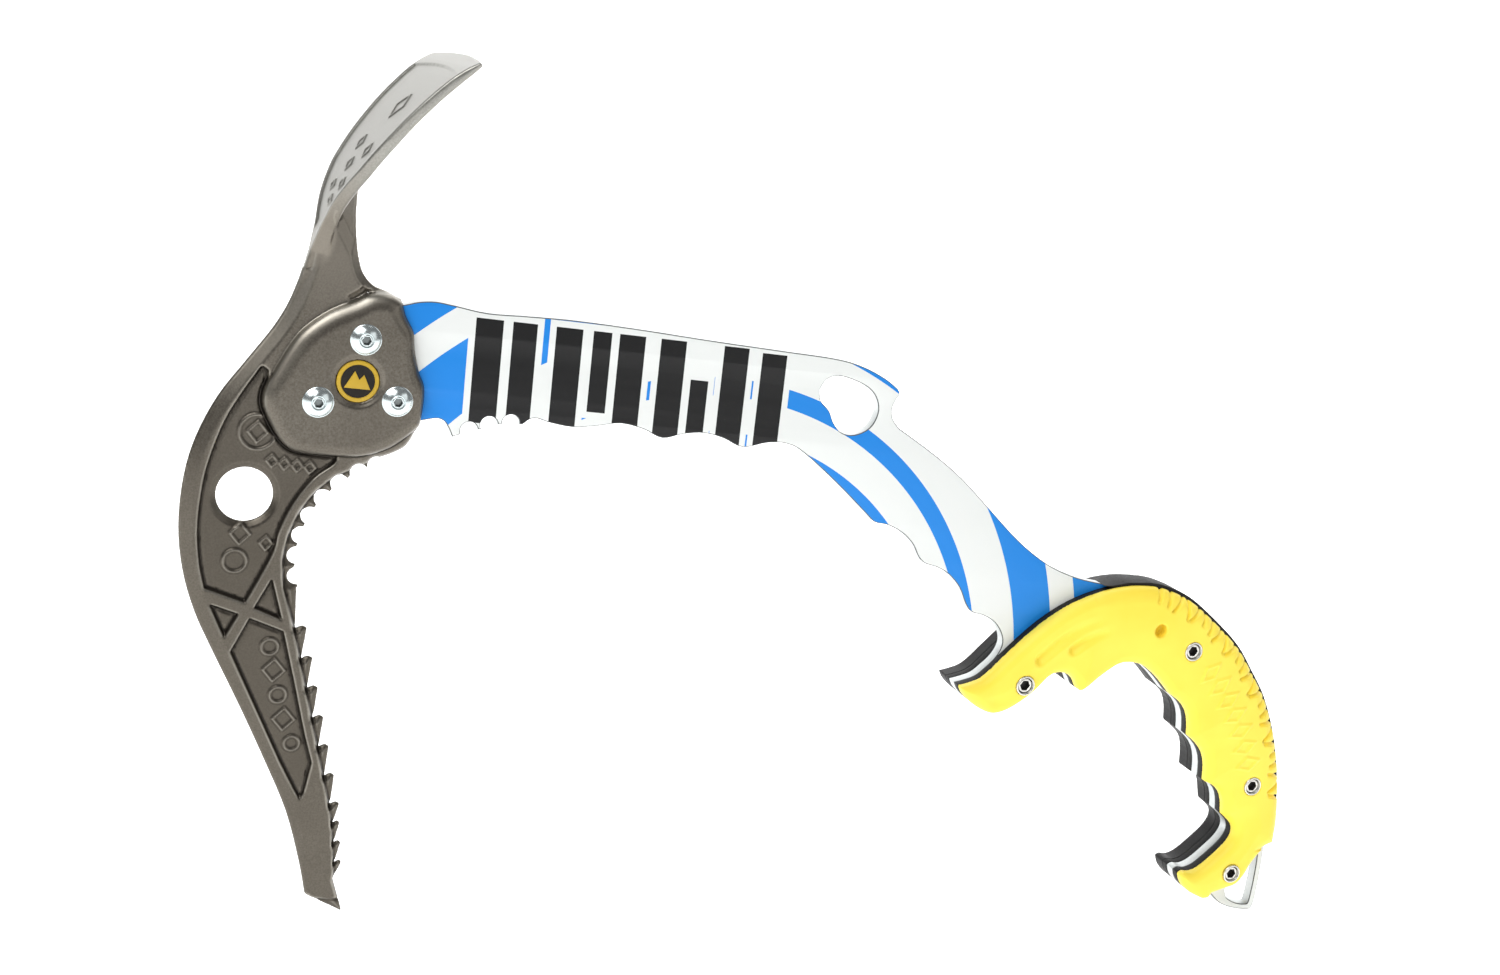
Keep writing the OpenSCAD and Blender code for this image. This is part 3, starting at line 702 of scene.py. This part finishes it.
def make_head():
    """Pick, boss, neck and adze as one forging, open for the plate's tang and the bolts."""
    low, high = box_mm("head_forging")
    low, high = low - 2, high + 2
    plan = (low[[0, 2]], high[[0, 2]])
    outline, half, tilt, relief, pocket = head_fields(*plan)
    station, offset = blade_fields(*plan)
    tang = outline_field("shaft_plate", 0.3, *plan)

    def shape(x, y, z):
        far = np.abs(y) - half(x, z)
        f = np.maximum(outline(x, z), far * tilt(x, z))
        f = np.maximum(f, np.minimum(z - FLAT_TOP, 0 * y + 1))
        slot = np.maximum(np.abs(y) - PLATE_Y - 0.05, tang(x, z) - 0.2)
        f = np.maximum(f, -slot)
        for place in HEAD_PLACES:
            f = np.maximum(f, HEAD_BORE - np.hypot(x - place[0], z - place[1]))
        # The blade joins the neck with a blend that is widest where its edges leave the neck
        upper = np.broadcast_to(z > BLADE_FOOT - 4, f.shape)
        if upper.any():
            px, py, pz = (np.broadcast_to(v, f.shape)[upper] for v in (x, y, z))
            behind = np.where(pz > 240, offset(px, pz) + 0.4, -1e3)
            blend = 0.7 + 1.8 * np.exp(-((pz - 250) / 8) ** 2)
            blade = blade_shape(station, offset, px, py, pz)
            f[upper] = soft_min(np.maximum(f[upper], behind), blade, blend)
        return f

    verts, faces = meshed(shape, low, high)
    obj = new_piece("head_forged", verts, faces, STEEL, ["head_forging"])
    x, y, z = verts.T
    on_face = ease((np.abs(y) - half(x, z) + 0.5) / 0.3) * (z < 262)
    # Painted highlights and shade from the fine relief, and painted shade in the pockets
    paint(obj, "relief", relief(x, z) * on_face)
    paint(obj, "pocket", pocket(x, z) * on_face)
    return obj


# ---- Plate and liners ----

def sheet_solid(name, loops, y_low, y_high, bevel, material, node):
    """A flat solid with the outlines and small rounded edges."""
    curve = bpy.data.curves.new(name + "_outline", "CURVE")
    curve.dimensions, curve.fill_mode = "2D", "BOTH"
    for loop in loops:
        spline = curve.splines.new("POLY")
        spline.points.add(len(loop) - 1)
        for point, (x, z) in zip(spline.points, loop):
            point.co = (x * MM, z * MM, 0, 1)
        spline.use_cyclic_u = True
    half = (y_high - y_low) / 2
    curve.extrude = (half - bevel) * MM
    curve.bevel_depth, curve.offset = bevel * MM, -bevel * MM
    curve.bevel_resolution = 2
    flat = bpy.data.objects.new(name + "_outline", curve)
    bpy.context.scene.collection.objects.link(flat)
    graph = bpy.context.evaluated_depsgraph_get()
    mesh = bpy.data.meshes.new_from_object(flat.evaluated_get(graph))
    bpy.data.objects.remove(flat)
    # The outline lies in X and Y: turn it up into X and Z
    turn = Matrix(((1, 0, 0, 0), (0, 0, -1, (y_low + y_high) / 2 * MM), (0, 1, 0, 0), (0, 0, 0, 1)))
    mesh.transform(turn)
    bm = bmesh.new()
    bm.from_mesh(mesh)
    bmesh.ops.remove_doubles(bm, verts=bm.verts, dist=1e-6)
    bmesh.ops.recalc_face_normals(bm, faces=bm.faces)
    bm.to_mesh(mesh)
    bm.free()
    mesh.materials.clear()
    mesh.materials.append(material)
    mesh.polygons.foreach_set("use_smooth", [True] * len(mesh.polygons))
    mesh.set_sharp_from_angle(angle=math.radians(35))
    obj = bpy.data.objects.new(name, mesh)
    bpy.context.scene.collection.objects.link(obj)
    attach(obj, "root")
    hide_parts(node)
    return obj


# How far the black lip takes the place of the plate's edge, and how far it stands out
LIP = 1.3


def tuck_under(loop):
    """The plate's outline drawn in along the back of the handle, and the lip that covers it."""
    way = np.array(BACK_MIDDLE) - loop
    away = np.hypot(*way.T)
    angle = np.arctan2(-way[:, 1], -way[:, 0])
    on_back = (away > 108) & (loop[:, 1] > 38)
    share = np.where(on_back, ease((math.radians(84) - angle) / 0.12), 0) * ease(angle / 0.02)
    shift = way / away[:, None] * (LIP * share)[:, None]
    drawn_in, proud = loop + shift, loop - shift
    # The run of covered points, in order from one end of the lip to the other
    run = np.flatnonzero(share > 0.02)
    breaks = np.flatnonzero(np.diff(run) > 1)
    if len(breaks):
        run = np.concatenate([run[breaks[0] + 1:], run[:breaks[0] + 1]])
    return drawn_in, np.vstack([proud[run], drawn_in[run][::-1]])


# ---- Grips ----

FLUTES = [
    smooth_curve([(100.5, 116.8), (104, 120.5), (110, 126.3), (117, 131.4), (126, 136)]),
    smooth_curve([(115, 122), (119, 125.4), (124, 128.6), (130, 131.6)])]
# Spacing and number of the ribs across the back
RIB_PITCH, RIB_COUNT = 5.3, 25
# Five ribs repeat: how far each one slants, and how far in from the edge it runs
RIB_SLANTS = np.array([0, 0.05, 0.45, -0.4, 0.45])
RIB_LENGTHS = np.array([6.2, 7.0, 8.2, 8.6, 8.2])
# Soft hollows beside the finger grooves: middle, size and depth
FINGER_HOLLOWS = [((176, 97), 5, 0.9), ((190.5, 77.5), 5, 1.3), ((204, 58.5), 5, 1.3),
                  ((212.5, 43.5), 6.5, 2.2), ((84.5, 97.5), 4, 0.9)]
RAISED_ANGLES = np.radians(np.linspace(49.5, 22.5, 7))
# Radii of the openings over the screw cups and of the blind hole, which ends inside the shell
CUP_OPENING = 4.25
BLIND_HOLE, BLIND_RADIUS, BLIND_DEPTH = (154.9, 132.6), 2.9, 4.5


def grip_relief(outline):
    """Depth carved from the outer face, and notches in the outline, as fields over X and Z."""
    x, z = outline.x + 0 * outline.z, outline.z + 0 * outline.x
    carve = np.zeros(outline.shape)
    # Flutes that fade out along their lines
    for line in FLUTES:
        away = np.full(outline.shape, 99.0)
        fade = np.zeros(outline.shape)
        for i, point in enumerate(line):
            gap = np.hypot(x - point[0], z - point[1])
            fade = np.where(gap < away, 1 - (i / len(line)) ** 1.5, fade)
            away = np.minimum(away, gap)
        carve += 2.3 * fade * ease((3.2 - away) / 3.2)
    for place, size, depth in FINGER_HOLLOWS:
        carve += depth * np.exp(-((x - place[0]) ** 2 + (z - place[1]) ** 2) / size ** 2)

    # Ribs across the back: grooves in the face, with notches in the outline
    dx, dz = x - BACK_MIDDLE[0], z - BACK_MIDDLE[1]
    turned = (BACK_START - np.arctan2(dz, dx)) * BACK_RADIUS
    inside = -outline.values
    rib = np.floor(turned / RIB_PITCH)
    kind = np.mod(rib, 5).astype(int)
    across = turned - (rib + 0.5) * RIB_PITCH + RIB_SLANTS[kind] * (inside - 3)
    groove = ease((1.3 - np.abs(across)) / 0.9) * ease((RIB_LENGTHS[kind] - inside) / 1.6)
    groove *= (rib >= 0) & (rib < RIB_COUNT) & (np.hypot(dx, dz) > 112)
    carve += 1.8 * groove
    outline.values = outline.values + 0.9 * groove * ease((3.2 - inside) / 2.4)

    # Raised diamonds in a row beside the ribs
    for angle in RAISED_ANGLES:
        out = np.array([math.cos(angle), math.sin(angle)])
        middle = np.array(BACK_MIDDLE) + 108.3 * out
        along = (x - middle[0]) * out[0] + (z - middle[1]) * out[1]
        side = (x - middle[0]) * out[1] - (z - middle[1]) * out[0]
        ring = np.abs(np.abs(along) / 5.4 + np.abs(side) / 3.0 - 1)
        carve -= 0.55 * ease((0.36 - ring) / 0.3)
    # The outer face is a little domed
    carve += 1.1 * (1 - ease(inside / 15))
    # and rounded more along the back
    way = np.arctan2(dz, dx)
    back = ease((np.hypot(dx, dz) - 108) / 6) * (way > 0) * (way < 1.5)
    carve += 1.3 * back * (1 - ease(inside / 6))
    carved = Field(outline.low, outline.high, STEP)
    carved.values = carve
    return carved


def make_grip(name, side, material, node):
    """A moulded shell: the outline with a rounded outer edge, flutes and a ribbed back."""
    low, high = box_mm(node)
    plan = (low[[0, 2]] - 2, high[[0, 2]] + 2)
    outline = Field(*plan, STEP).to_lines(section("liner_left", -LINER_Y + 1)[:1])
    carved = grip_relief(outline)
    # The left shell is rounded more than the right one; the roll is how far in the rounding starts
    rounding, roll = (3.4, 4.0) if side < 0 else (2.4, 2.8)
    face = GRIP_FACES[side]

    def shape(px, py, pz):
        d = outline(px, pz)
        wall = side * py
        u = d + roll
        v = (wall - (face - rounding) + carved(px, pz)) * roll / rounding
        corner = np.hypot(np.maximum(u, 0), np.maximum(v, 0)) + np.minimum(np.maximum(u, v), 0)
        f = np.maximum(corner - roll, LINER_Y + 0.03 - wall)
        for place in GRIP_PLACES:
            f = np.maximum(f, CUP_OPENING - np.hypot(px - place[0], pz - place[1]))
        hole = np.hypot(px - BLIND_HOLE[0], pz - BLIND_HOLE[1]) - BLIND_RADIUS
        return np.maximum(f, -soft_max(hole, face - BLIND_DEPTH - wall, 0.6))

    y_range = sorted((side * (LINER_Y - 1), side * (face + 1.5)))
    corner_low = (plan[0][0], y_range[0], plan[0][1])
    corner_high = (plan[1][0], y_range[1], plan[1][1])
    verts, faces = meshed(shape, corner_low, corner_high)
    return new_piece(name, verts, faces, material, [node])


# ---- Turned pieces ----

SIDES = 96


def circle(place, radius, height):
    """Points round a place on a plane of equal Y; the radius may differ from point to point."""
    turn = np.arange(SIDES) * 2 * math.pi / SIDES
    return np.stack([place[0] + radius * np.cos(turn), np.full(SIDES, height),
                     place[1] + radius * np.sin(turn)], 1)


def lathe(name, profile, place, side, material, replaces, hexes=(), socket=None):
    """A turned solid: profile holds [radius, height from the plate's middle], closed on the axis.
    Rows named in hexes have a hexagon of that radius across its flats in place of a circle."""
    verts, faces = [], []
    turn = np.arange(SIDES) * 2 * math.pi / SIDES
    flat = np.cos(np.mod(turn, math.pi / 3) - math.pi / 6)
    for row, (radius, height) in enumerate(profile):
        verts.append(circle(place, radius / flat if row in hexes else radius, side * height))
    rows = len(profile)
    for row in range(rows - 1):
        for k in range(SIDES):
            a, b = row * SIDES + k, row * SIDES + (k + 1) % SIDES
            quad = [a, b, b + SIDES, a + SIDES]
            faces.append(quad if side < 0 else quad[::-1])
    for row, flip in ((0, side > 0), (rows - 1, side < 0)):
        cap = [row * SIDES + k for k in range(SIDES)]
        faces.append(cap if flip else cap[::-1])
    obj = new_piece(name, np.vstack(verts), faces, material, replaces)
    mesh = obj.data
    bm = bmesh.new()
    bm.from_mesh(mesh)
    bmesh.ops.recalc_face_normals(bm, faces=bm.faces)
    bm.to_mesh(mesh)
    bm.free()
    mesh.set_sharp_from_angle(angle=math.radians(40))
    if hexes:
        # The faces inside the hex socket take a darker material, painted shade
        mesh.materials.append(socket or SOCKET_SHADOW)
        deep = profile[-1][1]
        top = profile[hexes[0]][1] - 0.3
        for polygon in mesh.polygons:
            centre = polygon.center / MM
            away = math.hypot(centre[0] - place[0], centre[2] - place[1])
            if away < profile[hexes[-1]][0] * 1.2 and deep - 0.1 < abs(centre[1]) < top:
                polygon.material_index = 1
    return obj


def arc(r, h, radius, start, stop, n=5):
    """Points of a profile on an arc about [r, h], by angles in degrees."""
    angles = np.radians(np.linspace(start, stop, n))
    return [(r + radius * math.cos(a), h + radius * math.sin(a)) for a in angles]


def head_fastener(name, place, side, node, shank, inner_end):
    """A domed head with a ring step and a hex socket, on its shank."""
    high = box_mm(node)
    top = max(abs(high[0][1]), abs(high[1][1]))
    reach = (high[1][0] - high[0][0]) / 2
    rise = top - BOSS_Y
    ball = (reach ** 2 + rise ** 2) / (2 * rise)
    dome = [(ball * math.sin(a), top - ball + ball * math.cos(a))
            for a in np.linspace(math.asin(reach / ball), math.asin(2.6 / ball), 12)]
    face = dome[-1][1]
    profile = [(shank, inner_end), (shank, BOSS_Y)]
    profile += [(reach - 0.15, BOSS_Y), (reach, BOSS_Y + 0.15)] + dome[1:]
    profile += [(2.45, face - 0.25), (2.2, face - 0.3), (2.0, face - 0.1), (1.8, face - 0.05)]
    first_hex = len(profile)
    profile += [(1.45, face - 0.1), (1.35, face - 0.25), (1.35, face - 1.6)]
    return lathe(name, profile, place, side, ZINC, [node],
                 hexes=range(first_hex, len(profile)), socket=BOLT_SOCKET_SHADE)


def grip_fastener(name, place, side, node, shank, inner_end):
    """A countersunk-looking flat head with a hex socket, sunk in its cup."""
    face = GRIP_FACES[side] - 0.55
    profile = [(shank, inner_end), (shank, face - 3.5), (2.7, face - 3.5), (2.98, face - 3.2)]
    profile += arc(2.63, face - 0.35, 0.35, 0, 90)
    first_hex = len(profile)
    profile += [(2.12, face), (1.98, face - 0.15), (1.95, face - 2.2)]
    return lathe(name, profile, place, side, SILVER, [node],
                 hexes=range(first_hex, len(profile)))


def cup_washer(name, place, side, node):
    """A turned ring with a rolled outer lip and a cone down to the screw."""
    low, lip = GRIP_FACES[side] - 2.4, GRIP_FACES[side] + 0.15
    ring = [(3.15, low), (4.15, low), (4.2, low + 0.1)]
    ring += arc(3.8, lip - 0.4, 0.4, 0, 130)
    ring += [(3.3, lip - 0.9), (3.15, lip - 1.2), (3.15, low)]
    verts = [circle(place, radius, side * height) for radius, height in ring[:-1]]
    faces = []
    rows = len(verts)
    for row in range(rows):
        for k in range(SIDES):
            a, b = row * SIDES + k, row * SIDES + (k + 1) % SIDES
            c, d = (row + 1) % rows * SIDES + (k + 1) % SIDES, (row + 1) % rows * SIDES + k
            faces.append([a, b, c, d] if side < 0 else [d, c, b, a])
    obj = new_piece(name, np.vstack(verts), faces, SILVER, [node])
    obj.data.set_sharp_from_angle(angle=math.radians(40))
    return obj


def medallion(side, node):
    """A gold disc with a raised rim round a dark field, and a gold mountain on the field."""
    face = BOSS_Y - 0.45
    profile = [(7.2, face - 1.1), (7.4, face - 0.9)]
    profile += arc(7.0, face - 0.4, 0.4, 0, 90) + [(6.15, face), (5.9, face - 0.3)]
    disc = lathe(node + "_disc", profile, MEDAL_PLACE, side, GOLD, [node])
    disc.data.materials.append(FIELD)
    for polygon in disc.data.polygons:
        centre = polygon.center / MM
        away = math.hypot(centre[0] - MEDAL_PLACE[0], centre[2] - MEDAL_PLACE[1])
        if away < 5.85 and abs(centre[1]) > face - 0.5:
            polygon.material_index = 1
    peaks = np.array([(-4.6, -2.6), (-1.4, 3.6), (0.4, 0.6), (1.9, 2.5), (4.6, -2.6)])
    low, high = sorted((side * (face - 0.4), side * (face - 0.05)))
    relief = sheet_solid(node + "_mountain", [peaks + MEDAL_PLACE], low, high, 0.12, GOLD,
                         node)
    return disc, relief


# ---- Stage ----

def make_stage():
    """A pale sweep: floor, rounded corner and wall, far behind the axe."""
    depth, radius, width, height = 1.6, 0.8, 5.0, 3.0
    profile = [(-2.5, 0.0), (depth, 0.0)]
    profile += [(depth + radius * math.sin(a), radius - radius * math.cos(a))
                for a in np.linspace(0.1, math.pi / 2, 16)]
    profile += [(depth + radius, height)]
    verts = [(x, y, z) for y, z in profile for x in (-width, width)]
    faces = [(2 * i, 2 * i + 1, 2 * i + 3, 2 * i + 2) for i in range(len(profile) - 1)]
    mesh = bpy.data.meshes.new("studio_sweep")
    mesh.from_pydata(verts, [], faces)
    mesh.polygons.foreach_set("use_smooth", [True] * len(mesh.polygons))
    sweep = bpy.data.objects.new("studio_sweep", mesh)
    bpy.context.scene.collection.objects.link(sweep)
    # The camera looks along +Y and a little to +X, so the wall stands square to that
    sweep.rotation_euler = (0, 0, math.radians(-22))
    paper = Shader("studio_paper", Roughness=0.9, Emission_Strength=0.7)
    paper.set(Emission_Color=(1, 1, 1, 1))
    paper.set(Base_Color=paper.mix(paper.noise(3, 2), colour(250, 250, 250), colour(248, 248, 248)))
    mesh.materials.append(paper.material)


def area_light(name, location, target, size, power):
    """A white rectangular light aimed at the target."""
    data = bpy.data.lights.new(name, "AREA")
    data.shape, data.size, data.size_y = "RECTANGLE", size[0], size[1]
    data.energy = power
    light = bpy.data.objects.new(name, data)
    light.location = location
    way = Vector(target) - Vector(location)
    light.rotation_euler = way.to_track_quat("-Z", "Y").to_euler()
    bpy.context.scene.collection.objects.link(light)


def make_camera():
    """The photograph's camera: ahead of the left side, near the pick, and a little above."""
    data = bpy.data.cameras.new("camera")
    data.sensor_width, data.lens = 36, 44.95
    data.clip_start, data.clip_end = 0.01, 50
    camera = bpy.data.objects.new("camera", data)
    right = Vector((0.9261, -0.3392, 0.1650)).normalized()
    up = Vector((-0.0793, 0.2527, 0.9644))
    back = right.cross(up).normalized()
    up = back.cross(right)
    turn = Matrix((right, up, back)).transposed()
    camera.matrix_world = Matrix.Translation((-0.3002, -0.6519, 0.3253)) @ turn.to_4x4()
    bpy.context.scene.collection.objects.link(camera)
    bpy.context.scene.camera = camera


make_camera()
make_stage()
area_light("key", (-1.0, -1.0, 1.6), (0, 0, 0.12), (1.4, 1.0), 14.5)
area_light("fill", (1.2, -1.3, 0.9), (0, 0, 0.12), (1.2, 1.2), 4.2)
area_light("top", (0.0, 0.3, 1.8), (0, 0, 0.1), (1.6, 1.2), 8)
area_light("wall", (0.3, 0.6, 1.7), (0.9, 2.4, 0.7), (1.6, 1.0), 30)
area_light("shoulder", (-0.9, -0.5, 0.95), (-0.2, 0, 0.22), (0.5, 0.7), 3)
world = bpy.data.worlds.new("studio_air")
world.use_nodes = True
world.node_tree.nodes["Background"].inputs[0].default_value = (1, 1, 1, 1)
world.node_tree.nodes["Background"].inputs[1].default_value = 0.24
bpy.context.scene.world = world
bpy.context.scene.view_settings.view_transform = "Standard"

make_head()
plate_loops = section("shaft_plate", 0.3)
back_loop, lip_loop = tuck_under(plate_loops[0])
sheet_solid("printed_plate", [back_loop] + plate_loops[1:], -PLATE_Y, PLATE_Y, 0.42, PRINT,
            "shaft_plate")
sheet_solid("liner_back_lip", [lip_loop], 0.02 - LINER_Y, LINER_Y - 0.02, 0.05, LINER,
            "liner_left")
for side, hand in ((-1, "left"), (1, "right")):
    low, high = sorted((side * (PLATE_Y + 0.01), side * (LINER_Y - 0.01)))
    sheet_solid("liner_sheet_" + hand, section("liner_" + hand, side * (LINER_Y - 1)), low, high, 0.25,
                LINER, "liner_" + hand)
    medallion(side, "medallion_" + hand)
make_grip("grip_shell_left", -1, YELLOW, "grip_left")
make_grip("grip_shell_right", 1, BLACK, "grip_right")
for name, place in zip(HEAD_NAMES, HEAD_PLACES):
    head_fastener("dome_bolt_" + name, place, -1, "head_bolt_" + name, 2.5, -5)
    head_fastener("dome_nut_" + name, place, 1, "head_nut_" + name, 3.5, 2)
for name, place in zip(GRIP_NAMES, GRIP_PLACES):
    grip_fastener("flat_screw_" + name, place, -1, "grip_screw_" + name, 2.0, -8)
    grip_fastener("flat_nut_" + name, place, 1, "grip_nut_" + name, 2.8, 3)
    cup_washer("cup_left_" + name, place, -1, "screw_cup_" + name)
    cup_washer("cup_right_" + name, place, 1, "nut_cup_" + name)
